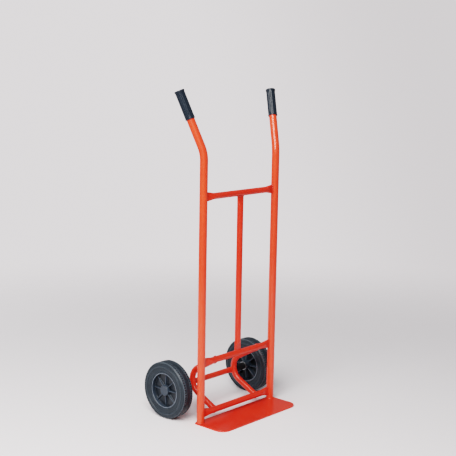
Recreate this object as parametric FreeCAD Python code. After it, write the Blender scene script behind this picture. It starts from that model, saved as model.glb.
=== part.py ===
import FreeCAD, Part
import math
import os

# Hand truck: a welded frame of round steel tube that stands on a toe plate, with two
# solid-tyred wheels that turn on rollers on one through axle.
#
# Millimetres. The origin is on the floor, under the toe plate, midway between the rails and
# in their plane. +Z is up, +Y is backwards to the wheels, and the toe plate reaches out
# along -Y. Left and right are as seen from the front: the right side is +X.

# ---------------------------------------------------------------- driving dimensions

# Rails: one bent tube each side, from the toe plate to the handle.
rail_diameter = 26.9
rail_wall = 2.0
rail_spacing = 373.0        # between the rails' centre lines
handle_corner_z = 932.0     # where the upright and the handle's centre lines cross
handle_bend_radius = 120.0  # on the centre line
handle_outward = 0.235      # sideways reach of the handle for each unit of height
handle_backward = 0.35      # backward reach of the handle for each unit of height
handle_end_z = 1135.5       # height of the middle of the grip's end face

# Cross tubes: three bars between the rails and one upright between the upper two.
cross_diameter = 21.3
cross_wall = 2.0
top_bar_z = 786.0
middle_bar_z = 215.0
lower_bar_z = 35.0
pressed_gap = 1.0           # air left between the walls of an end that is pressed flat
pressed_flat = 6.0          # flat length that shows before the joint
pressed_taper = 32.0        # length over which the tube changes from round to flat

# Toe plate.
plate_overhang = 15.5       # beyond the rails' centre lines at each side
plate_reach = 120.0         # in front of the rails' centre lines
plate_thickness = 5.0
plate_front_corner = 36.0
plate_rear_corner = 4.0

# Axle brackets: a bent tube each side, from the middle bar back and down to the lower bar.
bracket_inset = 76.5        # from the rails' centre lines inwards
bracket_corner_y = 170.25   # where the two legs' centre lines cross
bracket_corner_z = 117.5
bracket_bend_radius = 52.0
bracket_trim_y = 6.0        # vertical plane that both legs stop at

# Axle: a rod in a saddle in the back of both brackets.
axle_diameter = 20.0
axle_seat = 1.0             # depth of the saddle
axle_chamfer = 1.5

# Wheels.
wheel_diameter = 200.0
wheel_width = 50.0
wheel_outset = 52.2         # outer faces of the tyres beyond the rails' centre lines
tyre_shoulder = 9.0
tyre_bead_inset = 4.0       # how far the bead stands in from the side face
tyre_bead_slope = 7.0       # radial height of the sloping bead
tread_groove_x = 9.0        # from the wheel's middle to each tread groove
tread_groove_width = 2.5
tread_groove_depth = 2.0
sidewall_groove_drop = 14.0  # from the tread to the middle of the groove
sidewall_groove_width = 2.0
sidewall_groove_depth = 1.0
tyre_height = 38.0          # from the rim to the tread
rim_band = 4.0
rim_key_height = 3.0        # ridge that locks the tyre on the rim
rim_key_width = 12.0
rim_web = 4.0
rim_web_depth = 14.0        # from the rim's outer edge to the web
rib_count = 8
rib_thickness = 3.5
rib_hub_drop = 5.0          # rib edge below the rim's edges, at the hub
rib_band_drop = 9.0         # and at the band
boss_wall = 3.0
boss_inner_reach = 5.0      # boss past the tyre's inner face
boss_outer_drop = 9.0       # boss end below the rim's outer edge

# Roller bearing in each hub.
roller_diameter = 3.9
roller_count = 10
roller_length = 34.0
cage_wall = 3.2
cage_end_gap = 0.5

# Washers, push-on retainers, spacers and hub caps.
washer_thickness = 2.0
inner_washer_width = 6.0    # from the axle to the washer's outside
outer_washer_width = 5.0
retainer_width = 4.0
retainer_thickness = 3.0
retainer_dish = 1.2
axle_past_retainer = 1.0
spacer_wall = 2.8
cap_wall = 2.0
cap_face = 2.2
cap_edge = 2.0

# Grips.
grip_length = 100.0
grip_wall = 2.4
grip_end = 4.0
grip_flange_radius = 17.0
grip_flange_length = 5.0
grip_collar_radius = 16.5
grip_collar_length = 3.0

# Clearances.
running_clearance = 0.05    # radial, between a roller and what it runs on
pocket_clearance = 0.1      # between a roller and its pocket
sliding_clearance = 0.2     # bores over the axle, and gaps beside turning parts
cap_clearance = 1.0         # between the axle's end and the hub cap

# ---------------------------------------------------------------- sizes that follow

V = FreeCAD.Vector
rail_radius = rail_diameter / 2
cross_radius = cross_diameter / 2
axle_radius = axle_diameter / 2
wheel_radius = wheel_diameter / 2
rail_x = rail_spacing / 2
plate_width = rail_spacing + 2 * plate_overhang
bracket_x = rail_x - bracket_inset
wheel_x = rail_x + wheel_outset - wheel_width / 2
axle_z = wheel_radius
rim_radius = wheel_radius - tyre_height
sidewall_groove_radius = wheel_radius - sidewall_groove_drop

pressed_thickness = 2 * cross_wall + pressed_gap
# A pressed end keeps the tube's girth, measured in the middle of its wall.
pressed_straight = math.pi * (cross_diameter - pressed_thickness) / 2

# Across a wheel, from its middle plane outwards.
rim_edge = wheel_width / 2 - tyre_bead_inset
web_face = rim_edge - rim_web_depth
boss_outer_end = rim_edge - boss_outer_drop
boss_inner_end = -wheel_width / 2 - boss_inner_reach
race_radius = axle_radius + roller_diameter + 2 * running_clearance
pitch_radius = (axle_radius + race_radius) / 2
boss_radius = race_radius + boss_wall
outer_washer_start = boss_outer_end + sliding_clearance
retainer_start = outer_washer_start + washer_thickness
axle_end = retainer_start + retainer_thickness + axle_past_retainer
cap_inside = axle_end + cap_clearance
inner_washer_start = boss_inner_end - sliding_clearance - washer_thickness

# ---------------------------------------------------------------- shared shapes


def bend_setout(start, corner, end, radius):
    """Where a tangent arc of that radius starts, passes, ends and has its centre."""
    into = (corner - start).normalize()
    away = (end - corner).normalize()
    half_turn = into.getAngle(away) / 2
    inward = (away - into).normalize()
    setback = radius * math.tan(half_turn)
    centre = corner + inward * (radius / math.cos(half_turn))
    return corner - into * setback, centre - inward * radius, corner + away * setback, centre


def bent_path(start, corner, end, radius):
    """Straight run, tangent arc and straight run, as one wire."""
    arc_start, arc_middle, arc_end, centre = bend_setout(start, corner, end, radius)
    runs = [
        Part.LineSegment(start, arc_start),
        Part.Arc(arc_start, arc_middle, arc_end),
        Part.LineSegment(arc_end, end),
    ]
    return Part.Wire([run.toShape() for run in runs])


def round_bar(path, radius):
    """Solid round bar along a path."""
    first = path.Edges[0]
    start = first.valueAt(first.FirstParameter)
    along = first.tangentAt(first.FirstParameter)
    disc = Part.Face(Part.Wire(Part.makeCircle(radius, start, along)))
    return path.makePipe(disc)


def oblong_arcs(x, radius, straight):
    """Upper and lower end arcs of an oblong across X. With no straight they form a circle."""
    arcs = []
    for up in (1, -1):
        middle = up * straight / 2
        arcs.append(Part.Arc(V(x, radius, middle), V(x, 0, middle + up * radius),
                             V(x, -radius, middle)).toShape())
    return arcs


def pressed_end(round_x, flat_x, tip_x, radius, flat_radius):
    """End of a bar along X: two flat facets lead from the round section to the oblong one."""
    round_arcs = oblong_arcs(round_x, radius, 0)
    flat_arcs = oblong_arcs(flat_x, flat_radius, pressed_straight)
    faces = [Part.makeRuledSurface(a, b) for a, b in zip(round_arcs, flat_arcs)]
    sides = []
    for side in (1, -1):
        low = V(flat_x, side * flat_radius, -pressed_straight / 2)
        high = V(flat_x, side * flat_radius, pressed_straight / 2)
        apex = V(round_x, side * radius, 0)
        faces.append(Part.Face(Part.makePolygon([apex, low, high, apex])))
        sides.append(Part.makeLine(low, high))
    oblong = Part.Face(Part.Wire(Part.__sortEdges__(flat_arcs + sides)))
    faces.append(oblong)
    faces.append(Part.Face(Part.Wire(Part.__sortEdges__(round_arcs))))
    shell = Part.Shell(faces)
    shell.sewShape()
    taper = Part.Solid(shell)
    if taper.Volume < 0:
        taper.reverse()
    return taper.fuse(oblong.extrude(V(tip_x - flat_x, 0, 0)))


def pressed_bar(length, tip_length, radius, flat_radius):
    """Solid bar along X, centred on the origin, with both ends pressed thin in Y."""
    flat_x = length / 2 - tip_length
    round_x = flat_x - pressed_taper
    bar = Part.makeCylinder(radius, 2 * round_x, V(-round_x, 0, 0), V(1, 0, 0))
    for side in (1, -1):
        bar = bar.fuse(pressed_end(side * round_x, side * flat_x, side * length / 2,
                                   radius, flat_radius))
    return bar.removeSplitter()


def cross_bar(length, tip_length):
    """Outline and hollow tube of a cross tube along X with pressed ends."""
    outline = pressed_bar(length, tip_length, cross_radius, pressed_thickness / 2)
    inside = pressed_bar(length, tip_length, cross_radius - cross_wall, pressed_gap / 2)
    return outline, outline.cut(inside)


def turned(outline):
    """Solid of revolution about the axle's line from (x, radius) corners."""
    corners = [V(x, axle_y, axle_z + radius) for x, radius in outline]
    profile = Part.Face(Part.makePolygon(corners + corners[:1]))
    return profile.revolve(V(0, axle_y, axle_z), V(1, 0, 0), 360)


def ring(start, end, inner, outer):
    """Plain ring about the axle's line."""
    return turned([(start, inner), (start, outer), (end, outer), (end, inner)])


def handle_direction(side):
    return V(side * handle_outward, handle_backward, 1).normalize()


# ---------------------------------------------------------------- frame


def rail_path(side):
    corner = V(side * rail_x, 0, handle_corner_z)
    along = handle_direction(side)
    end = corner + along * ((handle_end_z - handle_corner_z) / along.z - grip_end)
    return bent_path(V(side * rail_x, 0, plate_thickness), corner, end, handle_bend_radius)


def rail_outline(side):
    return round_bar(rail_path(side), rail_radius)


def rail(side):
    return rail_outline(side).cut(round_bar(rail_path(side), rail_radius - rail_wall))


def level_bar(z):
    """Bar between the rails, coped to both. Returns its outline and the tube."""
    outline, tube = cross_bar(rail_spacing, rail_radius + pressed_flat)
    outline.translate(V(0, 0, z))
    tube.translate(V(0, 0, z))
    for side in (1, -1):
        tube = tube.cut(rail_outline(side))
    return outline, tube


def centre_tube(upper_outline, lower_outline):
    """Upright between the top and middle bars, coped to both."""
    middle = (top_bar_z + middle_bar_z) / 2
    tube = cross_bar(top_bar_z - middle_bar_z, cross_radius + pressed_flat)[1]
    tube.rotate(V(0, 0, 0), V(0, 1, 0), 90)
    tube.translate(V(0, 0, middle))
    return tube.cut(upper_outline).cut(lower_outline)


def bracket_corners(side):
    """The upper leg aims at the middle of its bar, and the lower leg at the back of its own."""
    corner = V(side * bracket_x, bracket_corner_y, bracket_corner_z)
    upper_end = V(corner.x, 0, middle_bar_z)
    slope = (corner.z - lower_bar_z) / (corner.y - cross_radius)
    lower_end = V(corner.x, 0, lower_bar_z - slope * cross_radius)
    return upper_end, corner, lower_end


def axle_line_y():
    """The rod lies against the outside of the bend, as deep as its saddle."""
    centre = bend_setout(*bracket_corners(1), bracket_bend_radius)[3]
    reach = bracket_bend_radius + cross_radius + axle_radius - axle_seat
    return centre.y + math.sqrt(reach ** 2 - (centre.z - axle_z) ** 2)


def axle_bracket(side, upper_outline, lower_outline, rod):
    path = bent_path(*bracket_corners(side), bracket_bend_radius)
    tube = round_bar(path, cross_radius).cut(round_bar(path, cross_radius - cross_wall))
    front = Part.makeBox(4 * cross_radius, 2 * cross_diameter + bracket_trim_y, middle_bar_z * 2,
                         V(side * bracket_x - 2 * cross_radius, -2 * cross_diameter, 0))
    for tool in (front, upper_outline, lower_outline, rod):
        tube = tube.cut(tool)
    return tube


def axle_rod():
    half = wheel_x + axle_end
    return turned([
        (-half, 0), (-half, axle_radius - axle_chamfer), (-half + axle_chamfer, axle_radius),
        (half - axle_chamfer, axle_radius), (half, axle_radius - axle_chamfer), (half, 0),
    ])


def toe_plate():
    blank = Part.makeBox(plate_width, plate_reach + rail_radius, plate_thickness,
                         V(-plate_width / 2, -plate_reach, 0))
    upright = [edge for edge in blank.Edges if abs(edge.tangentAt(edge.FirstParameter).z) > 0.9]
    front = [edge for edge in upright if edge.CenterOfMass.y < 0]
    rear = [edge for edge in upright if edge.CenterOfMass.y > 0]
    blank = blank.makeFillet(plate_front_corner, front)
    rear = [edge for edge in blank.Edges
            if any(edge.CenterOfMass.isEqual(old.CenterOfMass, 0.01) for old in rear)]
    return blank.makeFillet(plate_rear_corner, rear)


# ---------------------------------------------------------------- wheels (right-hand side)


def tyre():
    half = wheel_width / 2
    body = ring(-half, half, rim_radius, wheel_radius)
    shoulders = [edge for edge in body.Edges
                 if edge.BoundBox.ZMax > axle_z + wheel_radius - 0.01 and edge.BoundBox.XLength < 0.01]
    body = body.makeFillet(tyre_shoulder, shoulders)
    for out in (1, -1):
        body = body.cut(turned([
            (out * (half - tyre_bead_inset), rim_radius - 1),
            (out * (half - tyre_bead_inset), rim_radius),
            (out * half, rim_radius + tyre_bead_slope),
            (out * (half + 1), rim_radius + tyre_bead_slope),
            (out * (half + 1), rim_radius - 1),
        ]))
        body = body.cut(ring(out * (half - sidewall_groove_depth), out * (half + 1),
                             sidewall_groove_radius - sidewall_groove_width / 2,
                             sidewall_groove_radius + sidewall_groove_width / 2))
        body = body.cut(ring(out * tread_groove_x - tread_groove_width / 2,
                             out * tread_groove_x + tread_groove_width / 2,
                             wheel_radius - tread_groove_depth, wheel_radius + 1))
    return body.cut(ring(-rim_key_width / 2, rim_key_width / 2,
                         rim_radius - 1, rim_radius + rim_key_height))


def rib(angle):
    """One rib through both sides of the web, from the boss to the band, clear of the cap."""
    band_inside = rim_radius - rim_band
    cap_side = boss_radius + cap_wall + sliding_clearance
    hub_edge = rim_edge - rib_hub_drop
    band_edge = rim_edge - rib_band_drop
    overlap = rim_band / 2
    outline = [
        (-hub_edge, boss_radius - 1), (-band_edge, band_inside + overlap),
        (band_edge, band_inside + overlap), (hub_edge, cap_side),
        (web_face, cap_side), (web_face - rim_web / 2, boss_radius - 1),
    ]
    corners = [V(x, axle_y - rib_thickness / 2, axle_z + radius) for x, radius in outline]
    plate = Part.Face(Part.makePolygon(corners + corners[:1])).extrude(V(0, rib_thickness, 0))
    plate.rotate(V(0, axle_y, axle_z), V(1, 0, 0), angle)
    return plate


def rim():
    band_inside = rim_radius - rim_band
    body = turned([
        (-rim_edge, band_inside), (-rim_edge, rim_radius),
        (-rim_key_width / 2, rim_radius), (-rim_key_width / 2, rim_radius + rim_key_height),
        (rim_key_width / 2, rim_radius + rim_key_height), (rim_key_width / 2, rim_radius),
        (rim_edge, rim_radius), (rim_edge, band_inside),
        (web_face, band_inside), (web_face, boss_radius),
        (boss_outer_end, boss_radius), (boss_outer_end, race_radius),
        (boss_inner_end, race_radius), (boss_inner_end, boss_radius),
        (web_face - rim_web, boss_radius), (web_face - rim_web, band_inside),
    ])
    ribs = [rib(number * 360 / rib_count) for number in range(rib_count)]
    return body.fuse(ribs).removeSplitter()


def around_pitch(length, radius):
    """Round bars along X, one for each roller, centred on the cage's length."""
    middle = (boss_inner_end + boss_outer_end) / 2
    bars = []
    for number in range(roller_count):
        angle = 2 * math.pi * number / roller_count
        centre = V(middle - length / 2, axle_y + pitch_radius * math.cos(angle),
                   axle_z + pitch_radius * math.sin(angle))
        bars.append(Part.makeCylinder(radius, length, centre, V(1, 0, 0)))
    return bars


def bearing_cage():
    sleeve = ring(boss_inner_end + cage_end_gap, boss_outer_end - cage_end_gap,
                  pitch_radius - cage_wall / 2, pitch_radius + cage_wall / 2)
    return sleeve.cut(around_pitch(roller_length + 2 * pocket_clearance,
                                   roller_diameter / 2 + pocket_clearance))


def hub_cap():
    outside = boss_radius + cap_wall
    face = cap_inside + cap_face
    return turned([
        (web_face + sliding_clearance, boss_radius), (web_face + sliding_clearance, outside),
        (face - cap_edge, outside), (face, outside - cap_edge), (face, 0),
        (cap_inside, 0), (cap_inside, boss_radius),
    ])


def retainer():
    """Push-on ring that grips the axle, dished away from the washer at its rim."""
    end = retainer_start + retainer_thickness
    outside = axle_radius + retainer_width
    return turned([
        (retainer_start, axle_radius + retainer_dish), (retainer_start, outside),
        (end - retainer_dish, outside), (end, axle_radius + retainer_dish),
        (end, axle_radius), (retainer_start + retainer_dish, axle_radius),
    ])


def wheel_set():
    """Everything on one end of the axle, for the right-hand side."""
    bore = axle_radius + sliding_clearance
    parts = {
        "tyre": tyre(),
        "rim": rim(),
        "hub_cap": hub_cap(),
        "bearing_cage": bearing_cage(),
        "rollers": Part.makeCompound(around_pitch(roller_length, roller_diameter / 2)),
        "inner_washer": ring(inner_washer_start, inner_washer_start + washer_thickness,
                             bore, axle_radius + inner_washer_width),
        "outer_washer": ring(outer_washer_start, outer_washer_start + washer_thickness,
                             bore, axle_radius + outer_washer_width),
        "retainer": retainer(),
        "spacer": ring(bracket_x + cross_radius - wheel_x, inner_washer_start,
                       bore, bore + spacer_wall),
    }
    for shape in parts.values():
        shape.translate(V(wheel_x, 0, 0))
    return parts


# ---------------------------------------------------------------- grips


def grip(side):
    """Closed sleeve over the end of a rail, with a flange at its tip and a collar below."""
    body_radius = rail_radius + grip_wall
    outline = [
        (0, 0), (grip_flange_radius, 0), (grip_flange_radius, -grip_flange_length),
        (body_radius, -grip_flange_length), (body_radius, grip_collar_length - grip_length),
        (grip_collar_radius, grip_collar_length - grip_length),
        (grip_collar_radius, -grip_length), (rail_radius, -grip_length),
        (rail_radius, -grip_end), (0, -grip_end),
    ]
    corners = [V(radius, 0, z) for radius, z in outline]
    profile = Part.Face(Part.makePolygon(corners + corners[:1]))
    sleeve = profile.revolve(V(0, 0, 0), V(0, 0, 1), 360)
    along = handle_direction(side)
    end = V(side * rail_x, 0, handle_corner_z) + along * ((handle_end_z - handle_corner_z) / along.z)
    sleeve.Placement = FreeCAD.Placement(end, FreeCAD.Rotation(V(0, 0, 1), along))
    return sleeve


# ---------------------------------------------------------------- assembly

axle_y = axle_line_y()
axle = axle_rod()
top_outline, top_bar = level_bar(top_bar_z)
middle_outline, middle_bar = level_bar(middle_bar_z)
lower_outline, lower_bar = level_bar(lower_bar_z)

nodes = {
    "top_crossbar": top_bar,
    "middle_crossbar": middle_bar,
    "lower_crossbar": lower_bar,
    "centre_tube": centre_tube(top_outline, middle_outline),
    "toe_plate": toe_plate(),
    "axle": axle,
}
right_wheel_set = wheel_set()
for side, name in ((-1, "left"), (1, "right")):
    nodes[name + "_rail"] = rail(side)
    nodes[name + "_grip"] = grip(side)
    nodes[name + "_axle_bracket"] = axle_bracket(side, middle_outline, lower_outline, axle)
    for part_name, shape in right_wheel_set.items():
        placed = shape if side > 0 else shape.mirror(V(0, 0, 0), V(1, 0, 0))
        nodes[name + "_" + part_name] = placed

os.makedirs("parts", exist_ok=True)
for name, shape in sorted(nodes.items()):
    shape.exportStep("parts/" + name + ".step")
    print(name, len(shape.Solids), "solid(s)", round(shape.Volume / 1000, 2), "cm3",
          "valid" if shape.isValid() else "NOT VALID")
print("axle at y", round(axle_y, 2), "z", axle_z)
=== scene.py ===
import math

import bpy
import numpy as np
from mathutils import Matrix, Vector


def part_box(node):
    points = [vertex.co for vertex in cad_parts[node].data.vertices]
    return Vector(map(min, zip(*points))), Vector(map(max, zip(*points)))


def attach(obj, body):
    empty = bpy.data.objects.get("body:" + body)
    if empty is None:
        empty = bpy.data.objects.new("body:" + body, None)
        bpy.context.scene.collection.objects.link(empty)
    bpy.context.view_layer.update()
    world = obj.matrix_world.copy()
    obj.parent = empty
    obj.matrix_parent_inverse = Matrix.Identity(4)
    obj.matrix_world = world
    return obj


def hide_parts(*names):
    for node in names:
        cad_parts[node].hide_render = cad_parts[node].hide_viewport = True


bl_info = {
    "name": "Hand Truck",
    "version": (1, 0, 0),
    "blender": (4, 5, 0),
    "location": "View3D > Sidebar > Hand Truck",
    "description": "Builds the visible pieces of a welded hand truck around its frame",
    "category": "Object",
}

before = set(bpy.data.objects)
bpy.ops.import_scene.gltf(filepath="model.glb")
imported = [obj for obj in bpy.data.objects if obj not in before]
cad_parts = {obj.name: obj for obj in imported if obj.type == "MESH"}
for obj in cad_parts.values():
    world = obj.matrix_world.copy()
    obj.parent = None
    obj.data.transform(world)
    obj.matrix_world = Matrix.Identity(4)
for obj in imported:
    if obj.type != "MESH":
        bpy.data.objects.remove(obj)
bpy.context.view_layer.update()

MM = 0.001
SIDES = ((-1, "left"), (1, "right"))

# ---------------------------------------------------------------- places read from the frame


def box(node):
    """Lowest and highest corner of a node, as two arrays in metres."""
    return [np.array(corner, float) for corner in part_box(node)]


def middle(node):
    low, high = box(node)
    return (low + high) / 2


def half_size(node):
    low, high = box(node)
    return (high - low) / 2


RAIL_RADIUS = -box("right_rail")[0][1]
RAIL_X = box("right_rail")[0][0] + RAIL_RADIUS
TUBE_RADIUS = half_size("top_crossbar")[1]
PRESSED_HEIGHT = 2 * half_size("top_crossbar")[2]
BAR_HEIGHTS = {name: middle(name)[2] for name in ("top_crossbar", "middle_crossbar", "lower_crossbar")}
BRACKET_X = middle("right_axle_bracket")[0]
PLATE_TOP = box("toe_plate")[1][2]
AXLE = middle("axle")
AXLE_RADIUS = half_size("axle")[2]
WHEEL_X = middle("right_tyre")[0]
WHEEL_RADIUS = half_size("right_tyre")[2]
TYRE_HALF = half_size("right_tyre")[0]
RIM_EDGE = box("right_rim")[1][0] - WHEEL_X
BOSS_INNER_END = box("right_rim")[0][0] - WHEEL_X
KEY_RADIUS = half_size("right_rim")[2]
CAP_FACE = box("right_hub_cap")[1][0] - WHEEL_X
CAP_START = box("right_hub_cap")[0][0] - WHEEL_X
CAP_RADIUS = half_size("right_hub_cap")[2]
GRIP_TOP = box("right_grip")[1][2]

# ---------------------------------------------------------------- sizes and colours a user can change


def length(name, description, default):
    return bpy.props.FloatProperty(name=name, description=description, default=default,
                                   unit="LENGTH", precision=5)


def ratio(name, description, default):
    return bpy.props.FloatProperty(name=name, description=description, default=default)


def count(name, description, default):
    return bpy.props.IntProperty(name=name, description=description, default=default, min=1)


def colour(name, description, default):
    return bpy.props.FloatVectorProperty(name=name, description=description, default=default,
                                         subtype="COLOR", size=3, min=0, max=1)


class FrameSizes(bpy.types.PropertyGroup):
    """Sizes of the welded frame."""
    handle_corner: length("Handle corner", "Height where upright and handle would cross", 0.932)
    handle_bend: length("Handle bend", "Bend radius of the handles on the centre line", 0.120)
    handle_outward: ratio("Handle outward", "Sideways reach for each unit of height", 0.235)
    handle_backward: ratio("Handle backward", "Backward reach for each unit of height", 0.35)
    pressed_thickness: length("Pressed thickness", "Thickness of a tube's pressed end", 0.005)
    pressed_flat: length("Pressed flat", "Flat length that shows before the joint", 0.006)
    pressed_taper: length("Pressed taper", "Length over which a tube goes from round to flat", 0.032)
    bracket_corner_y: length("Bracket corner, back", "Where the bracket's legs would cross", 0.17025)
    bracket_corner_z: length("Bracket corner, height", "Where the bracket's legs would cross", 0.1175)
    bracket_bend: length("Bracket bend", "Bend radius of the brackets", 0.052)
    bracket_trim: length("Bracket trim", "Plane that the bracket's legs stop at", 0.006)
    front_corner: length("Front corners", "Radius of the toe plate's front corners", 0.036)
    rear_corner: length("Rear corners", "Radius of the toe plate's rear corners", 0.004)
    plate_edge: length("Plate edge", "Rounding of the toe plate's edges", 0.0009)
    weld_radius: length("Weld radius", "Half thickness of a weld bead", 0.0022)
    weld_pitch: length("Weld pitch", "Length of one ripple of a weld bead", 0.0035)


class WheelSizes(bpy.types.PropertyGroup):
    """Sizes of the wheels and of what holds them on the axle."""
    rim_radius: length("Rim radius", "Where the tyre sits on the rim", 0.062)
    band: length("Rim band", "Thickness of the rim's band", 0.004)
    key_width: length("Key width", "Width of the ridge that locks the tyre", 0.012)
    web_face: length("Web face", "Outer face of the web, from the wheel's middle", 0.007)
    web: length("Web", "Thickness of the web", 0.004)
    ribs: count("Ribs", "Number of ribs on each face of the web", 8)
    rib_width: length("Rib width", "Thickness of a rib at its edge", 0.0035)
    rib_hub_drop: length("Rib drop at the hub", "Rib edge below the rim's edge", 0.005)
    rib_band_drop: length("Rib drop at the band", "Rib edge below the rim's edge", 0.009)
    rib_foot: length("Rib foot", "Fillet where a rib meets the web", 0.0022)
    boss_radius: length("Boss radius", "Outside of the hub boss", 0.017)
    race_radius: length("Race radius", "Bore of the hub boss", 0.014)
    boss_outer_end: length("Boss outer end", "From the wheel's middle", 0.012)
    groove_x: length("Tread groove place", "From the wheel's middle to each groove", 0.009)
    groove_width: length("Tread groove width", "Width of each tread groove", 0.0025)
    groove_depth: length("Tread groove depth", "Depth of each tread groove", 0.002)
    notches: count("Tread notches", "Cross cuts round each outer band of the tread", 72)
    notch_depth: length("Notch depth", "Depth of the cross cuts", 0.0012)


class GripSizes(bpy.types.PropertyGroup):
    """Sizes of the handle grips."""
    grip_length: length("Length", "Length of a grip", 0.100)
    wall: length("Wall", "Wall of the sleeve", 0.0024)
    flange_radius: length("Flange radius", "Radius of the flange at the tip", 0.017)
    flange_length: length("Flange length", "Length of the flange", 0.005)
    collar_radius: length("Collar radius", "Radius of the collar at the open end", 0.0165)
    collar_length: length("Collar length", "Length of the collar", 0.003)
    flutes: count("Flutes", "Lengthwise grooves round the sleeve", 12)
    flute_depth: length("Flute depth", "Depth of the grooves", 0.0009)


class Finishes(bpy.types.PropertyGroup):
    """Colours of the finishes."""
    # Painted light and shade: the first paint colour is a lighter, more orange copy of the enamel for the
    # rails, the second a darker red copy for every other frame part.
    paint: colour("Paint", "Enamel on the rails, its lighter copy as painted light", (0.84, 0.058, 0.017))
    paint_shaded: colour("Shaded paint", "Enamel on the other parts, its darker copy as painted shade",
                       (0.66, 0.027, 0.008))
    rubber: colour("Rubber", "Tyre rubber", (0.015, 0.023, 0.031))
    rubber_dust_and_sheen: colour("Rubber dust and sheen", "Dust and scuffs on the rubber, and its painted sheen ring", (0.054, 0.072, 0.090))
    rim_plastic: colour("Rim plastic", "Moulded rim and hub cap", (0.026, 0.037, 0.052))
    grip_vinyl: colour("Grip vinyl", "Handle grips", (0.013, 0.019, 0.028))
    spacer_plastic: colour("Spacer plastic", "Tubes between bracket and hub", (0.014, 0.014, 0.016))
    zinc: colour("Zinc plate", "Washers and retainers", (0.36, 0.37, 0.38))
    steel: colour("Bearing steel", "Rollers", (0.66, 0.66, 0.68))
    nylon: colour("Nylon", "Bearing cages", (0.70, 0.66, 0.55))


class StageSettings(bpy.types.PropertyGroup):
    """Camera, floor and lights."""
    camera_place: bpy.props.FloatVectorProperty(
        name="Camera place", description="Where the camera stands", size=3,
        default=(-2.6121, -2.2801, 1.2234), subtype="TRANSLATION", unit="LENGTH")
    heading: bpy.props.FloatProperty(name="Heading", description="Turn from +Y towards +X",
                                     default=math.radians(48.22), subtype="ANGLE", unit="ROTATION")
    pitch: bpy.props.FloatProperty(name="Pitch", description="Tilt below the horizon",
                                   default=math.radians(9.162), subtype="ANGLE", unit="ROTATION")
    roll: bpy.props.FloatProperty(name="Roll", description="Turn about the line of sight",
                                  default=math.radians(1.004), subtype="ANGLE", unit="ROTATION")
    lens: ratio("Lens", "Focal length in millimetres on a 36 mm sensor", 79.85)
    backdrop: colour("Backdrop", "Pale grey of the backdrop", (0.99, 0.935, 0.955))
    surround: colour("Surround", "Dim grey that lights the object from all round", (0.25, 0.25, 0.26))
    floor: colour("Floor", "Pale grey paper on the floor", (0.87, 0.835, 0.85))
    key: bpy.props.FloatProperty(name="Key light", description="Power of the large soft light",
                                 default=165, min=0, unit="POWER")
    back: bpy.props.FloatProperty(name="Back light", description="Power of the light behind",
                                  default=25, min=0, unit="POWER")
    spark: bpy.props.FloatProperty(name="Spark light", description="Power of the small light",
                                   default=6, min=0, unit="POWER")


# ---------------------------------------------------------------- outlines and surfaces

SHARP_ANGLE = math.radians(35)
LOOP_POINTS = 96


def unit(vectors):
    """Each vector divided by its own length."""
    vectors = np.asarray(vectors, float)
    return vectors / np.linalg.norm(vectors, axis=-1, keepdims=True)


def full_turn(columns, shift=0.0):
    """Angles at even steps round a circle, all moved on by a share of one step."""
    return (np.arange(columns) + shift) * 2 * math.pi / columns


def circle(angle, first, second):
    """Unit circle spanned by two directions: cosine times the first plus sine times the second.

    Either direction may be one for all rings or one for each."""
    return (np.cos(angle)[:, None] * np.asarray(first)[..., None, :]
            + np.sin(angle)[:, None] * np.asarray(second)[..., None, :])


def arc_mix(first, last, turn, share):
    """Arc from the first vector to the last, a turn apart.

    The sine of the turn still to go times the first, plus the sine of the turn gone times
    the last, over the sine of the whole turn."""
    return (np.sin((1 - share) * turn) * first + np.sin(share * turn) * last) / math.sin(turn)


def rounded_outline(corners, steps=6):
    """Points along an outline of (across, out, rounding) corners.

    A rounded corner is an arc tangent to both sides: its centre lies on the corner's bisector,
    at the rounding divided by the sine of half the opening."""
    places = np.array([corner[:2] for corner in corners], float)
    along = np.linspace(0, 1, steps + 1)[:, None]
    outline = []
    for index, corner in enumerate(places):
        rounding = corners[index][2]
        if rounding == 0:
            outline.append(corner[None])
            continue
        back = unit(places[index - 1] - corner)
        onward = unit(places[(index + 1) % len(places)] - corner)
        opening = math.acos(float(np.clip(back @ onward, -1, 1)))
        centre = corner + unit(back + onward) * rounding / math.sin(opening / 2)
        sweep = math.pi - opening
        first = corner + back * rounding / math.tan(opening / 2) - centre
        last = corner + onward * rounding / math.tan(opening / 2) - centre
        outline.append(centre + arc_mix(first, last, sweep, along))
    return np.vstack(outline)


def divided(outline, step, closed=True):
    """The outline with every side longer than the step cut into equal shorter ones."""
    following = np.roll(outline, -1, axis=0)
    if not closed:
        following[-1] = outline[-1]
    pieces = []
    for start, end in zip(outline, following):
        cuts = max(1, math.ceil(np.linalg.norm(end - start) / step))
        pieces.append(start + (end - start) * (np.arange(cuts) / cuts)[:, None])
    return np.vstack(pieces)


def grid_faces(rows, columns, wrap_rows):
    """Quads of a grid whose columns run round in a ring, and its rows too if asked."""
    row = np.arange(rows if wrap_rows else rows - 1)[:, None]
    column = np.arange(columns)[None, :]
    next_row = (row + 1) % rows
    next_column = (column + 1) % columns
    quads = np.stack([row * columns + column, row * columns + next_column,
                      next_row * columns + next_column, next_row * columns + column], axis=-1)
    return quads.reshape(-1, 4)


def outward(vertices, faces):
    """The face lists turned so that the shell's signed volume is positive.

    The volume is a sixth of the sum, over the faces' triangles, of the triple product of
    their corners."""
    total = 0.0
    centre = vertices.mean(axis=0)
    for block in faces:
        corners = vertices[block] - centre
        for second in range(1, block.shape[1] - 1):
            cross = np.cross(corners[:, second], corners[:, second + 1])
            total += float((corners[:, 0] * cross).sum())
    if total > 0:
        return faces
    return [block[:, ::-1] for block in faces]


def ring_shell(points):
    """Shell of a grid of points (rows, columns, 3) that joins up both ways."""
    rows, columns = points.shape[:2]
    vertices = points.reshape(-1, 3)
    return vertices, outward(vertices, [grid_faces(rows, columns, True)])


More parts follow.
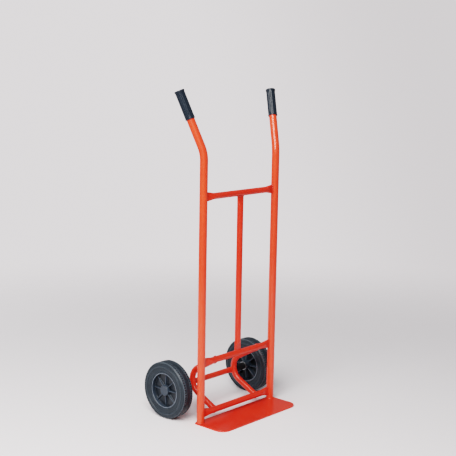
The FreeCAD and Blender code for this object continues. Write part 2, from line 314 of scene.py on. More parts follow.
def ended_shell(points, first_pole, last_pole):
    """Shell of a grid of rings, closed at each end by a fan to a pole."""
    rows, columns = points.shape[:2]
    vertices = np.vstack([points.reshape(-1, 3), [first_pole], [last_pole]])
    ring = np.arange(columns)
    following = (ring + 1) % columns
    base = (rows - 1) * columns
    first_fan = np.stack([np.full(columns, rows * columns), following, ring], axis=-1)
    last_fan = np.stack([np.full(columns, rows * columns + 1), base + ring, base + following], axis=-1)
    quads = grid_faces(rows, columns, False)
    return vertices, outward(vertices, [quads, first_fan, last_fan])


def turned_shell(outline, centre, columns=96, side=1):
    """Shell of revolution about a line along X through the centre.

    The outline holds (x, radius) points. One that starts and ends at radius 0 is closed by
    its two end points, and any other joins up into a ring."""
    angle = full_turn(columns)
    open_ended = outline[0, 1] == 0
    rings = outline[1:-1] if open_ended else outline
    points = turned_points(rings[:, :1], rings[:, 1:], angle[None, :], centre, side)
    if not open_ended:
        return ring_shell(points)
    ends = [centre + np.array([side * outline[place, 0], 0, 0]) for place in (0, -1)]
    return ended_shell(points, ends[0], ends[1])


def turned_points(x, radius, angle, centre, side):
    """Points at a place along X, a radius and an angle about the centre's line along X."""
    x, radius, angle = np.broadcast_arrays(x, radius, angle)
    points = np.stack([side * x, radius * np.cos(angle), radius * np.sin(angle)], axis=-1)
    return points + centre


def tube_points(path, tangents, across, radius, columns=48):
    """Rings of a round tube along a path that bends in one plane.

    Each ring lies across the tangent, spanned by the plane's normal and by the tangent
    crossed with it."""
    ring = circle(full_turn(columns), across, np.cross(tangents, across))
    return path[:, None, :] + radius * ring


def bent_path(start, corner, end, radius, arc_steps=20, run_step=0.05):
    """Points and tangents along a straight run, a tangent arc and a straight run."""
    into = unit(corner - start)
    away = unit(end - corner)
    turn = math.acos(float(np.clip(into @ away, -1, 1)))
    setback = radius * math.tan(turn / 2)
    centre = corner + unit(away - into) * radius / math.cos(turn / 2)
    arc_start = corner - into * setback
    arc_end = corner + away * setback
    share = np.linspace(0, 1, arc_steps + 1)[:, None]
    first = arc_start - centre
    last = arc_end - centre
    arc = centre + arc_mix(first, last, turn, share)
    arc_tangents = arc_mix(into, away, turn, share)
    runs = []
    for begin, finish, direction in ((start, arc_start, into), (arc_end, end, away)):
        steps = max(1, math.ceil(np.linalg.norm(finish - begin) / run_step))
        share = np.linspace(0, 1, steps + 1)[:, None]
        runs.append((begin + (finish - begin) * share, np.repeat(direction[None], steps + 1, axis=0)))
    path = np.vstack([runs[0][0][:-1], arc, runs[1][0][1:]])
    tangents = np.vstack([runs[0][1][:-1], arc_tangents, runs[1][1][1:]])
    return path, unit(tangents)


def piece(name, shells, body, finish, replaces=()):
    """One mesh object from closed shells, smooth but for its sharp edges, on its body."""
    vertices = []
    faces = []
    total = 0
    for shell_vertices, shell_faces in shells:
        vertices.append(shell_vertices)
        for block in shell_faces:
            faces.extend((block + total).tolist())
        total += len(shell_vertices)
    mesh = bpy.data.meshes.new(name)
    mesh.from_pydata(np.vstack(vertices).tolist(), [], faces)
    if mesh.validate():
        raise RuntimeError(f"{name}: the mesh had faulty faces")
    mesh.shade_smooth()
    mesh.set_sharp_from_angle(angle=SHARP_ANGLE)
    mesh.materials.append(bpy.data.materials[finish])
    made = bpy.data.objects.new(name, mesh)
    bpy.context.scene.collection.objects.link(made)
    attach(made, body)
    if replaces:
        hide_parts(*replaces)
    return made


def merge_doubles(shell, digits=7):
    """The shell with vertices at the same place made one, and faces that vanish left out."""
    vertices, faces = shell
    _, first, place = np.unique(np.round(vertices, digits), axis=0, return_index=True,
                                return_inverse=True)
    place = place.reshape(-1)
    kept = []
    for block in faces:
        merged = place[block]
        if merged.shape[1] == 3:
            kept.append(merged[np.all(merged != np.roll(merged, 1, axis=1), axis=1)])
            continue
        repeats = merged == np.roll(merged, -1, axis=1)
        kept.append(merged[repeats.sum(axis=1) == 0])
        for corner in range(4):
            single = merged[(repeats.sum(axis=1) == 1) & repeats[:, corner]]
            kept.append(np.delete(single, corner, axis=1))
    return vertices[first], [block for block in kept if len(block)]


# ---------------------------------------------------------------- shader groups and materials


def new_group(name, inputs, outputs):
    """A shader node group with its named sockets, and its inner input and output nodes."""
    group = bpy.data.node_groups.new(name, "ShaderNodeTree")
    for socket, kind, default in inputs:
        made = group.interface.new_socket(socket, in_out="INPUT", socket_type=kind)
        made.default_value = default
    for socket, kind in outputs:
        group.interface.new_socket(socket, in_out="OUTPUT", socket_type=kind)
    return group, group.nodes.new("NodeGroupInput"), group.nodes.new("NodeGroupOutput")


def add(tree, kind, values=(), links=(), **settings):
    """A node with its settings, its input values and its links, each named by socket."""
    node = tree.nodes.new(kind)
    for setting, value in settings.items():
        setattr(node, setting, value)
    for socket, value in values:
        node.inputs[socket].default_value = value
    for socket, source in links:
        tree.links.new(source, node.inputs[socket])
    return node


def maths(tree, operation, first, second, clamp=False):
    """A Math node. Each operand is a number or another node's output."""
    node = tree.nodes.new("ShaderNodeMath")
    node.operation = operation
    node.use_clamp = clamp
    for index, operand in enumerate((first, second)):
        if isinstance(operand, (int, float)):
            node.inputs[index].default_value = operand
        else:
            tree.links.new(operand, node.inputs[index])
    return node.outputs[0]


def mixed(tree, share, first, second):
    """Two colours mixed by a share. Each colour is three numbers or a node's output."""
    node = tree.nodes.new("ShaderNodeMix")
    node.data_type = "RGBA"
    tree.links.new(share, node.inputs["Factor"])
    for socket, value in (("A", first), ("B", second)):
        target = [entry for entry in node.inputs if entry.name == socket and entry.type == "RGBA"][0]
        if isinstance(value, bpy.types.NodeSocket):
            tree.links.new(value, target)
        else:
            target.default_value = (*value, 1)
    return [entry for entry in node.outputs if entry.type == "RGBA"][0]


def ramp(tree, source, low, high, start=0.0, end=1.0):
    """A smooth step of the source from low to high, put out between start and end."""
    node = add(tree, "ShaderNodeMapRange", links=[("Value", source)], interpolation_type="SMOOTHSTEP")
    for socket, value in (("From Min", low), ("From Max", high), ("To Min", start), ("To Max", end)):
        node.inputs[socket].default_value = value
    return node.outputs["Result"]


def noise(tree, place, scale, detail=3.0, roughness=0.5):
    """Noise over a place, at a scale in waves to the metre."""
    node = add(tree, "ShaderNodeTexNoise", links=[("Vector", place)])
    if isinstance(scale, (int, float)):
        node.inputs["Scale"].default_value = scale
    else:
        tree.links.new(scale, node.inputs["Scale"])
    node.inputs["Detail"].default_value = detail
    node.inputs["Roughness"].default_value = roughness
    return node.outputs["Fac"]


def tone_group():
    """Tone drift: two tones of one finish, mixed by broad and fine noise."""
    group, inside, outside = new_group(
        "Tone drift",
        [("Tone", "NodeSocketColor", (1, 1, 1, 1)), ("Other tone", "NodeSocketColor", (1, 1, 1, 1)),
         ("Scale", "NodeSocketFloat", 12.0), ("Amount", "NodeSocketFloat", 0.5)],
        [("Color", "NodeSocketColor"), ("Share", "NodeSocketFloat")])
    place = add(group, "ShaderNodeTexCoord").outputs["Object"]
    broad = noise(group, place, inside.outputs["Scale"], 2.0)
    fine = noise(group, place, maths(group, "MULTIPLY", inside.outputs["Scale"], 9.0), 3.0)
    share = maths(group, "ADD", maths(group, "MULTIPLY", broad, 0.7), maths(group, "MULTIPLY", fine, 0.3))
    share = maths(group, "MULTIPLY", ramp(group, share, 0.35, 0.68), inside.outputs["Amount"])
    made = mixed(group, share, inside.outputs["Tone"], inside.outputs["Other tone"])
    group.links.new(made, outside.inputs["Color"])
    group.links.new(share, outside.inputs["Share"])
    return group


def dust_group():
    """Dust: a mask, strongest on faces that look up, broken up by noise."""
    group, inside, outside = new_group(
        "Settled dust",
        [("Scale", "NodeSocketFloat", 60.0), ("On top", "NodeSocketFloat", 0.4),
         ("All over", "NodeSocketFloat", 0.1)],
        [("Mask", "NodeSocketFloat")])
    place = add(group, "ShaderNodeTexCoord").outputs["Object"]
    normal = add(group, "ShaderNodeNewGeometry").outputs["Normal"]
    upward = add(group, "ShaderNodeSeparateXYZ", links=[("Vector", normal)]).outputs["Z"]
    lying = maths(group, "MULTIPLY", ramp(group, upward, 0.2, 1.0), inside.outputs["On top"])
    speckle = ramp(group, noise(group, place, inside.outputs["Scale"], 5.0, 0.65), 0.40, 0.72)
    total = maths(group, "ADD", lying, inside.outputs["All over"])
    mask = maths(group, "MULTIPLY", total, speckle, clamp=True)
    group.links.new(mask, outside.inputs["Mask"])
    return group


def wear_group():
    """Edge wear: a mask along convex edges, broken up by noise."""
    group, inside, outside = new_group(
        "Edge wear",
        [("Scale", "NodeSocketFloat", 120.0), ("Amount", "NodeSocketFloat", 0.3)],
        [("Mask", "NodeSocketFloat")])
    place = add(group, "ShaderNodeTexCoord").outputs["Object"]
    convex = add(group, "ShaderNodeNewGeometry").outputs["Pointiness"]
    broken = ramp(group, noise(group, place, inside.outputs["Scale"], 4.0, 0.6), 0.42, 0.66)
    mask = maths(group, "MULTIPLY", ramp(group, convex, 0.52, 0.62), broken)
    mask = maths(group, "MULTIPLY", mask, inside.outputs["Amount"], clamp=True)
    group.links.new(mask, outside.inputs["Mask"])
    return group


def grain_group():
    """Surface grain: a height from fine noise over a broader swell, for a Bump node."""
    group, inside, outside = new_group(
        "Surface grain",
        [("Grain scale", "NodeSocketFloat", 900.0), ("Swell scale", "NodeSocketFloat", 90.0),
         ("Swell share", "NodeSocketFloat", 0.5)],
        [("Height", "NodeSocketFloat")])
    place = add(group, "ShaderNodeTexCoord").outputs["Object"]
    fine = noise(group, place, inside.outputs["Grain scale"], 2.0)
    swell = noise(group, place, inside.outputs["Swell scale"], 1.0)
    raised = maths(group, "MULTIPLY", maths(group, "SUBTRACT", swell, fine), inside.outputs["Swell share"])
    group.links.new(maths(group, "ADD", fine, raised), outside.inputs["Height"])
    return group


def axle_distance(tree):
    """Object coordinates, and their distance from the axle's line."""
    place = add(tree, "ShaderNodeTexCoord").outputs["Object"]
    centred = add(tree, "ShaderNodeMapping", [("Location", (0, -AXLE[1], -AXLE[2]))],
                  [("Vector", place)])
    flat = add(tree, "ShaderNodeVectorMath", [(1, (0, 1, 1))], [(0, centred.outputs["Vector"])],
               operation="MULTIPLY")
    radius = add(tree, "ShaderNodeVectorMath", links=[(0, flat.outputs["Vector"])],
                 operation="LENGTH")
    return place, radius.outputs["Value"]


def turning_group():
    """Turning marks: fine rings about the axle's line, as a height and a mask."""
    group, inside, outside = new_group(
        "Turning marks",
        [("Rings", "NodeSocketFloat", 1500.0), ("Width", "NodeSocketFloat", 0.5)],
        [("Height", "NodeSocketFloat"), ("Mask", "NodeSocketFloat")])
    radius = axle_distance(group)[1]
    spun = add(group, "ShaderNodeCombineXYZ", links=[("X", radius)])
    rings = noise(group, spun.outputs["Vector"], inside.outputs["Rings"], 2.0)
    group.links.new(rings, outside.inputs["Height"])
    group.links.new(maths(group, "MULTIPLY", rings, inside.outputs["Width"]), outside.inputs["Mask"])
    return group


def highlight_ring_group():
    """Rubbed ring: a mask round the axle's line at one radius, broken up a little by noise."""
    group, inside, outside = new_group(
        "Painted highlight ring",
        [("Radius", "NodeSocketFloat", 0.06), ("Half width", "NodeSocketFloat", 0.001),
         ("Amount", "NodeSocketFloat", 0.6)],
        [("Mask", "NodeSocketFloat")])
    place, radius = axle_distance(group)
    apart = maths(group, "ABSOLUTE", maths(group, "SUBTRACT", radius, inside.outputs["Radius"]), 0.0)
    share = maths(group, "DIVIDE", apart, inside.outputs["Half width"])
    broken = ramp(group, noise(group, place, 70.0, 4.0), 0.30, 0.55, 0.45, 1.0)
    mask = maths(group, "MULTIPLY", ramp(group, share, 0.5, 1.2, 1.0, 0.0), broken)
    mask = maths(group, "MULTIPLY", mask, inside.outputs["Amount"], clamp=True)
    group.links.new(mask, outside.inputs["Mask"])
    return group


def recess_shade_group():
    """Recess: a mask that rises from the web of a rim to whatever stands proud of it."""
    sizes = bpy.context.scene.truck_wheels
    group, inside, outside = new_group(
        "Painted recess shade", [("Deep", "NodeSocketFloat", 0.001), ("Proud", "NodeSocketFloat", 0.006)],
        [("Mask", "NodeSocketFloat")])
    place = add(group, "ShaderNodeTexCoord").outputs["Object"]
    x = add(group, "ShaderNodeSeparateXYZ", links=[("Vector", place)]).outputs["X"]
    web = WHEEL_X + sizes.web_face - sizes.web / 2
    from_web = maths(group, "SUBTRACT", maths(group, "ABSOLUTE", x, 0.0), web)
    height = maths(group, "SUBTRACT", maths(group, "ABSOLUTE", from_web, 0.0), sizes.web / 2)
    mask = add(group, "ShaderNodeMapRange", links=[("Value", height),
                                                   ("From Min", inside.outputs["Deep"]),
                                                   ("From Max", inside.outputs["Proud"])],
               interpolation_type="SMOOTHSTEP")
    group.links.new(mask.outputs["Result"], outside.inputs["Mask"])
    return group


def group_node(tree, group, values=()):
    node = tree.nodes.new("ShaderNodeGroup")
    node.node_tree = bpy.data.node_groups[group]
    for socket, value in values:
        node.inputs[socket].default_value = value
    return node


def new_material(name, **constants):
    """A material with a Principled shader and its constants. Returns both and the node tree."""
    made = bpy.data.materials.new(name)
    made.use_nodes = True
    shader = made.node_tree.nodes["Principled BSDF"]
    for socket, value in constants.items():
        shader.inputs[socket.replace("_", " ")].default_value = value
    return made, made.node_tree, shader


def add_bump(tree, shader, height, distance, strength=1.0):
    bump = add(tree, "ShaderNodeBump", [("Strength", strength), ("Distance", distance)],
               [("Height", height)])
    tree.links.new(bump.outputs["Normal"], shader.inputs["Normal"])


def paint_material(name, main_tone, other_tone, drift_scale, bump_distance, coat=0.6):
    """Gloss enamel: two tones, a trace of dust, rubbed edges and orange peel under a clear coat."""
    made, tree, shader = new_material(name, Specular_IOR_Level=0.35, Coat_Weight=coat,
                                      Coat_Roughness=0.07)
    tone = group_node(tree, "Tone drift", [("Tone", (*main_tone, 1)), ("Other tone", (*other_tone, 1)),
                                           ("Scale", drift_scale), ("Amount", 0.3)])
    dust = group_node(tree, "Settled dust", [("Scale", 140.0), ("On top", 0.05), ("All over", 0.02)])
    wear = group_node(tree, "Edge wear", [("Scale", 260.0), ("Amount", 0.30)])
    dusty = mixed(tree, dust.outputs["Mask"], tone.outputs["Color"], (0.55, 0.42, 0.38))
    wear_and_painted_light = mixed(tree, wear.outputs["Mask"], dusty, (0.62, 0.16, 0.10))
    tree.links.new(wear_and_painted_light, shader.inputs["Base Color"])
    dulled = maths(tree, "ADD", maths(tree, "MULTIPLY", tone.outputs["Share"], 0.08), 0.36)
    rough = maths(tree, "ADD", dulled, maths(tree, "MULTIPLY", dust.outputs["Mask"], 0.5))
    tree.links.new(rough, shader.inputs["Roughness"])
    peel = group_node(tree, "Surface grain", [("Grain scale", 420.0), ("Swell scale", 120.0),
                                              ("Swell share", 0.6)])
    add_bump(tree, shader, peel.outputs["Height"], bump_distance, 0.6)
    return made


def rubber_material():
    """Tyre rubber: mould grain, rings from the mould, and dust that dulls it."""
    finishes = bpy.context.scene.truck_finishes
    made, tree, shader = new_material("Tyre rubber", Specular_IOR_Level=0.36)
    tone = group_node(tree, "Tone drift", [("Tone", (*finishes.rubber, 1)),
                                           ("Other tone", (*[0.6 * x for x in finishes.rubber], 1)),
                                           ("Scale", 26.0), ("Amount", 0.6)])
    dust = group_node(tree, "Settled dust", [("Scale", 220.0), ("On top", 0.25), ("All over", 0.14)])
    wear = group_node(tree, "Edge wear", [("Scale", 300.0), ("Amount", 0.6)])
    rings = group_node(tree, "Turning marks", [("Rings", 500.0), ("Width", 0.08)])
    dusty = mixed(tree, maths(tree, "ADD", dust.outputs["Mask"], rings.outputs["Mask"], clamp=True),
                  tone.outputs["Color"], tuple(finishes.rubber_dust_and_sheen))
    scuffed = mixed(tree, wear.outputs["Mask"], dusty, (0.11, 0.13, 0.15))
    # Painted highlight: a lighter ring along the tread's shoulder.
    shoulder = group_node(tree, "Painted highlight ring", [("Radius", WHEEL_RADIUS - 1.3 * MM),
                                                ("Half width", 0.9 * MM), ("Amount", 0.5)])
    wear_and_painted_light = mixed(tree, shoulder.outputs["Mask"], scuffed, (0.13, 0.155, 0.18))
    # Painted sheen: a ring on the side wall in the dust colour.
    roll = group_node(tree, "Painted highlight ring", [("Radius", WHEEL_RADIUS - 16.0 * MM),
                                            ("Half width", 2.4 * MM), ("Amount", 0.35)])
    wear_and_painted_light = mixed(tree, roll.outputs["Mask"], wear_and_painted_light, tuple(finishes.rubber_dust_and_sheen))
    tree.links.new(wear_and_painted_light, shader.inputs["Base Color"])
    rough = maths(tree, "ADD", maths(tree, "MULTIPLY", dust.outputs["Mask"], 0.25), 0.42)
    tree.links.new(rough, shader.inputs["Roughness"])
    grain = group_node(tree, "Surface grain", [("Grain scale", 1400.0), ("Swell scale", 160.0),
                                               ("Swell share", 0.3)])
    height = maths(tree, "ADD", grain.outputs["Height"],
                   maths(tree, "MULTIPLY", rings.outputs["Height"], 0.5))
    add_bump(tree, shader, height, 0.00018, 0.6)
    return made


def plastic_material(name, tone_colour, roughness, grain_scale, grain_depth, dust_amount,
                     ring_radius=0.0, gloss=0.5):
    """Moulded plastic: fine mould grain, faint flow tones, a little dust and rubbed edges.

    With a ring radius, the recesses of a rim are darker and the edge at that distance from
    the axle's line is rubbed lighter."""
    made, tree, shader = new_material(name, Specular_IOR_Level=gloss)
    lighter = tuple(min(1.0, 1.5 * x) for x in tone_colour)
    tone = group_node(tree, "Tone drift", [("Tone", (*tone_colour, 1)), ("Other tone", (*lighter, 1)),
                                           ("Scale", 22.0), ("Amount", 3.0 * dust_amount)])
    dust = group_node(tree, "Settled dust", [("Scale", 260.0), ("On top", dust_amount),
                                             ("All over", dust_amount / 2)])
    wear = group_node(tree, "Edge wear", [("Scale", 400.0), ("Amount", 0.5)])
    dusty = mixed(tree, dust.outputs["Mask"], tone.outputs["Color"],
                  tuple(min(1.0, 0.10 + 1.5 * x) for x in tone_colour))
    wear_and_painted_light = mixed(tree, wear.outputs["Mask"], dusty, tuple(min(1.0, 0.07 + 1.6 * x) for x in tone_colour))
    if ring_radius:
        # Painted shade: the web in a rim's recesses gets a darker copy of the plastic.
        recess_shade = group_node(tree, "Painted recess shade", [("Deep", 0.5 * MM), ("Proud", 5.5 * MM)])
        wear_and_painted_light = mixed(tree, recess_shade.outputs["Mask"], tuple(0.42 * x for x in tone_colour), wear_and_painted_light)
        # Painted highlight: a lighter ring just inside the rim's edge.
        edge = group_node(tree, "Painted highlight ring", [("Radius", ring_radius), ("Half width", 1.6 * MM),
                                                ("Amount", 0.8)])
        wear_and_painted_light = mixed(tree, edge.outputs["Mask"], wear_and_painted_light, tuple(0.10 + 2.5 * x for x in tone_colour))
    tree.links.new(wear_and_painted_light, shader.inputs["Base Color"])
    rough = maths(tree, "ADD", maths(tree, "MULTIPLY", tone.outputs["Share"], 0.12), roughness)
    rough = maths(tree, "ADD", rough, maths(tree, "MULTIPLY", dust.outputs["Mask"], 0.3))
    tree.links.new(rough, shader.inputs["Roughness"])
    grain = group_node(tree, "Surface grain", [("Grain scale", grain_scale), ("Swell scale", 110.0),
                                               ("Swell share", 0.25)])
    add_bump(tree, shader, grain.outputs["Height"], grain_depth, 0.6)
    return made


def metal_material(name, tone_colour, roughness, rings):
    """Turned or plated steel: tones of its plate, fine rings and rubbed edges."""
    made, tree, shader = new_material(name, Metallic=1.0)
    darker = tuple(0.72 * x for x in tone_colour)
    tone = group_node(tree, "Tone drift", [("Tone", (*tone_colour, 1)), ("Other tone", (*darker, 1)),
                                           ("Scale", 90.0), ("Amount", 0.6)])
    marks = group_node(tree, "Turning marks", [("Rings", rings), ("Width", 0.25)])
    tree.links.new(tone.outputs["Color"], shader.inputs["Base Color"])
    rough = maths(tree, "ADD", marks.outputs["Mask"], roughness)
    tree.links.new(rough, shader.inputs["Roughness"])
    add_bump(tree, shader, marks.outputs["Height"], 0.00004, 0.5)
    return made


class BuildFinishes(bpy.types.Operator):
    """Make the shader groups and the materials"""
    bl_idname = "truck.finishes"
    bl_label = "Finishes"

    def execute(self, context):
        for make in (tone_group, dust_group, wear_group, grain_group, turning_group, highlight_ring_group,
                     recess_shade_group):
            make()
        finishes = context.scene.truck_finishes
        # Painted light and shade: the rails get the lit copy of the enamel, the bars, tube, brackets,
        # plate, axle and welds the shaded copy.
        paint, shaded = tuple(finishes.paint), tuple(finishes.paint_shaded)
        paint_material("Enamel on rails", paint, shaded, 7.0, 0.00012)
        paint_material("Enamel", shaded, paint, 9.0, 0.00010, coat=0.3)
        paint_material("Enamel on welds", shaded, paint, 60.0, 0.0002)
        rubber_material()
        # The rim gets painted shade in its recesses and a painted highlight ring just inside its edge.
        plastic_material("Rim plastic", tuple(finishes.rim_plastic), 0.32, 1500.0, 0.00010, 0.16,
                         context.scene.truck_wheels.rim_radius - 1.2 * MM)
        plastic_material("Grip vinyl", tuple(finishes.grip_vinyl), 0.27, 1900.0, 0.00005, 0.03,
                         gloss=0.32)
        plastic_material("Spacer plastic", tuple(finishes.spacer_plastic), 0.42, 1500.0, 0.00012, 0.2)
        plastic_material("Nylon", tuple(finishes.nylon), 0.40, 1500.0, 0.00010, 0.0)
        metal_material("Zinc plate", tuple(finishes.zinc), 0.26, 2200.0)
        metal_material("Bearing steel", tuple(finishes.steel), 0.14, 3500.0)
        return {"FINISHED"}


# ---------------------------------------------------------------- frame


def handle_direction(side):
    sizes = bpy.context.scene.truck_frame
    return unit(np.array([side * sizes.handle_outward, sizes.handle_backward, 1.0]))


def handle_end(side):
    """Middle of the grip's end face. The face's flange reaches the frame's highest point."""
    sizes = bpy.context.scene.truck_frame
    along = handle_direction(side)
    flange = bpy.context.scene.truck_grips.flange_radius * math.hypot(along[0], along[1])
    corner = np.array([side * RAIL_X, 0, sizes.handle_corner])
    return corner + along * (GRIP_TOP - flange - corner[2]) / along[2]


class BuildRails(bpy.types.Operator):
    """Bend the two rails from the toe plate up into the handles"""
    bl_idname = "truck.rails"
    bl_label = "Rails"

    def execute(self, context):
        sizes = context.scene.truck_frame
        # The rails take the lighter enamel copy, painted light.
        paint = "Enamel on rails"
        for side, word in SIDES:
            start = np.array([side * RAIL_X, 0, PLATE_TOP])
            corner = np.array([side * RAIL_X, 0, sizes.handle_corner])
            end = handle_end(side) - handle_direction(side) * 2 * context.scene.truck_grips.wall
            path, tangents = bent_path(start, corner, end, sizes.handle_bend)
            across = unit(np.cross(tangents[0], tangents[-1]))
            rings = tube_points(path, tangents, across, RAIL_RADIUS, 56)
            piece(f"{word}_rail_tube", [ended_shell(rings, path[0], path[-1])], "frame",
                  paint, [f"{word}_rail"])
        return {"FINISHED"}


def pressed_section(share, angle):
    """Section of a tube that is pressed flat by a share between 0 and 1.

    Two half circles lead from the tube's radius to half the pressed thickness as they draw
    apart, and straight sides join them. Returns its thin and its wide coordinate."""
    flat_radius = bpy.context.scene.truck_frame.pressed_thickness / 2
    spread = PRESSED_HEIGHT / 2 - flat_radius
    radius = (1 - share) * TUBE_RADIUS + share * flat_radius
    thin = radius * np.cos(angle)
    wide = radius * np.sin(angle) + np.sign(np.sin(angle)) * share * spread
    return thin, wide


def pressed_tube(half_length, meets_radius, columns=64):
    """Tube along X with both ends pressed and coped to round tubes across its ends.

    Along X the pressed share rises from 0 to 1 over the taper, half straight and half as a
    smooth step. Each end point goes on to the surface of the tube that it meets."""
    sizes = bpy.context.scene.truck_frame
    angle = full_turn(columns, 0.5)
    flat_x = half_length - meets_radius - sizes.pressed_flat
    round_x = flat_x - sizes.pressed_taper
    taper = np.linspace(round_x, flat_x, 15)
    body = np.linspace(0, round_x, 6)[1:-1]
    places = np.concatenate([-taper[::-1], -body[::-1], [0.0], body, taper])
    share = np.clip((np.abs(places) - round_x) / sizes.pressed_taper, 0, 1)
    share = 0.5 * share + 0.5 * share * share * (3 - 2 * share)
    thin, wide = pressed_section(share[:, None], angle[None, :])
    along = np.broadcast_to(places[:, None], thin.shape)
    points = np.stack([along, thin, wide], axis=-1)
    ends = []
    for side in (-1, 1):
        end_thin, end_wide = pressed_section(np.ones(1), angle)
        reach = side * (half_length - np.sqrt(meets_radius ** 2 - end_thin ** 2))
        ends.append(np.stack([reach, end_thin, end_wide], axis=-1)[None])
    pole = half_length - meets_radius + MM
    return np.concatenate([ends[0], points, ends[1]]), pole


def upright(points):
    """The same tube or loop turned from X to Z, its wide way along X."""
    return points[..., [2, 1, 0]]


class BuildCrossTubes(bpy.types.Operator):
    """Press and fit the three crossbars and the centre tube"""
    bl_idname = "truck.cross_tubes"
    bl_label = "Crossbars and centre tube"

    def execute(self, context):
        paint = "Enamel"
        points, pole = pressed_tube(RAIL_X, RAIL_RADIUS)
        for name, height in BAR_HEIGHTS.items():
            lift = np.array([0, 0, height])
            shell = ended_shell(points + lift, lift - [pole, 0, 0], lift + [pole, 0, 0])
            piece(f"{name}_tube", [shell], "frame", paint, [name])
        top, bottom = BAR_HEIGHTS["top_crossbar"], BAR_HEIGHTS["middle_crossbar"]
        points, pole = pressed_tube((top - bottom) / 2, TUBE_RADIUS)
        lift = np.array([0, 0, (top + bottom) / 2])
        shell = ended_shell(upright(points) + lift, lift - [0, 0, pole], lift + [0, 0, pole])
        piece("centre_upright_tube", [shell], "frame", paint, ["centre_tube"])
        return {"FINISHED"}


def bracket_setout(side):
    """Ends and corner of a bracket's centre line.

    The upper leg aims at the middle of its bar, and the lower leg at the back of its own."""
    sizes = bpy.context.scene.truck_frame
    corner = np.array([side * BRACKET_X, sizes.bracket_corner_y, sizes.bracket_corner_z])
    upper = np.array([corner[0], 0, BAR_HEIGHTS["middle_crossbar"]])
    lower = np.array([corner[0], TUBE_RADIUS, BAR_HEIGHTS["lower_crossbar"]])
    return upper, corner, lower


def coped_ring(end, towards, bar_height, columns):
    """Ring where a bracket leg stops on a bar.

    Every line of the leg runs on from the leg's end, along the leg, until it meets the
    bar's circle in the YZ plane or the trim plane, whichever comes first."""
    trim = bpy.context.scene.truck_frame.bracket_trim
    across = np.array([1.0, 0, 0])
    radial = circle(full_turn(columns), across, np.cross(towards, across))
    start = end - 2 * TUBE_RADIUS * towards + TUBE_RADIUS * radial
    bar = np.array([0, 0, bar_height])
    offset = (start - bar) * [0, 1, 1]
    half_linear = offset @ towards
    reach = (offset ** 2).sum(axis=1) - TUBE_RADIUS ** 2
    inside = half_linear ** 2 - reach
    to_trim = (trim - start[:, 1]) / towards[1]
    to_bar = np.where(inside > 0, -half_linear - np.sqrt(np.maximum(inside, 0)), to_trim)
    travel = np.minimum(to_bar, to_trim)
    points = start + travel[:, None] * towards
    return points, radial, unit((points - bar) * [0, 1, 1])


class BuildBrackets(bpy.types.Operator):
    """Bend the two axle brackets and fit them to the crossbars"""
    bl_idname = "truck.brackets"
    bl_label = "Axle brackets"

    def execute(self, context):
        columns = 48
        sizes = context.scene.truck_frame
        paint = "Enamel"
        for side, word in SIDES:
            start, corner, end = bracket_setout(side)
            path, tangents = bent_path(start, corner, end, sizes.bracket_bend, 28, 0.012)
            keep = path[:, 1] > TUBE_RADIUS + 2 * sizes.bracket_trim
            path, tangents = path[keep], tangents[keep]
            across = np.array([1.0, 0, 0])
            rings = tube_points(path, tangents, across, TUBE_RADIUS, columns)
            upper = coped_ring(start, -tangents[0], BAR_HEIGHTS["middle_crossbar"], columns)[0]
            lower = coped_ring(end, tangents[-1], BAR_HEIGHTS["lower_crossbar"], columns)[0]
            upper = upper[(-np.arange(columns)) % columns]
            points = np.concatenate([upper[None], rings, lower[None]])
            shell = ended_shell(points, upper.mean(axis=0), lower.mean(axis=0))
            piece(f"{word}_bracket_tube", [shell], "frame", paint,
                  [f"{word}_axle_bracket"])
        return {"FINISHED"}


class BuildToePlate(bpy.types.Operator):
    """Cut the toe plate with its rounded corners and softened edges"""
    bl_idname = "truck.toe_plate"
    bl_label = "Toe plate"

    def execute(self, context):
        sizes = context.scene.truck_frame
        low, high = box("toe_plate")
        quarter = np.linspace(0, math.pi / 2, 15)
        corners = ((1, 1, sizes.rear_corner), (-1, 1, sizes.rear_corner),
                   (-1, -1, sizes.front_corner), (1, -1, sizes.front_corner))
        outline = []
        normals = []
        for turn, (to_side, to_back, radius) in enumerate(corners):
            centre = [high[0] - radius if to_side > 0 else low[0] + radius,
                      high[1] - radius if to_back > 0 else low[1] + radius]
            angle = quarter + turn * math.pi / 2
            normal = np.stack([np.cos(angle), np.sin(angle)], axis=-1)
            outline.append(np.array(centre) + radius * normal)
            normals.append(normal)
        outline = np.vstack(outline)
        normals = np.vstack(normals)
        edge = sizes.plate_edge
        section = rounded_outline([(2 * edge, low[2], 0), (0, low[2], edge / 2),
                                   (0, high[2], edge), (2 * edge, high[2], 0)], 5)
        inset = outline[None] - section[:, :1, None] * normals[None]
        heights = np.broadcast_to(section[:, 1][:, None, None], (*inset.shape[:2], 1))
        points = np.concatenate([inset, heights], axis=-1)
        rows, columns = points.shape[:2]
        vertices = points.reshape(-1, 3)
        ends = [np.arange(columns)[None, ::-1], (rows - 1) * columns + np.arange(columns)[None, :]]
        shell = vertices, outward(vertices, [grid_faces(rows, columns, False), *ends])
        piece("toe_plate_sheet", [shell], "frame", "Enamel",
              ["toe_plate"])
        return {"FINISHED"}


class BuildAxle(bpy.types.Operator):
    """Turn the axle with its chamfered ends"""
    bl_idname = "truck.axle"
    bl_label = "Axle"

    def execute(self, context):
        half = half_size("axle")[0]
        chamfer = 1.5 * MM
        outline = np.array([(-half, 0), (-half, AXLE_RADIUS - chamfer), (-half + chamfer, AXLE_RADIUS),
                            (half - chamfer, AXLE_RADIUS), (half, AXLE_RADIUS - chamfer), (half, 0)])
        shell = turned_shell(outline, AXLE * [0, 1, 1], 64)
        piece("axle_rod", [shell], "frame", "Enamel", ["axle"])
        return {"FINISHED"}


# ---------------------------------------------------------------- welds


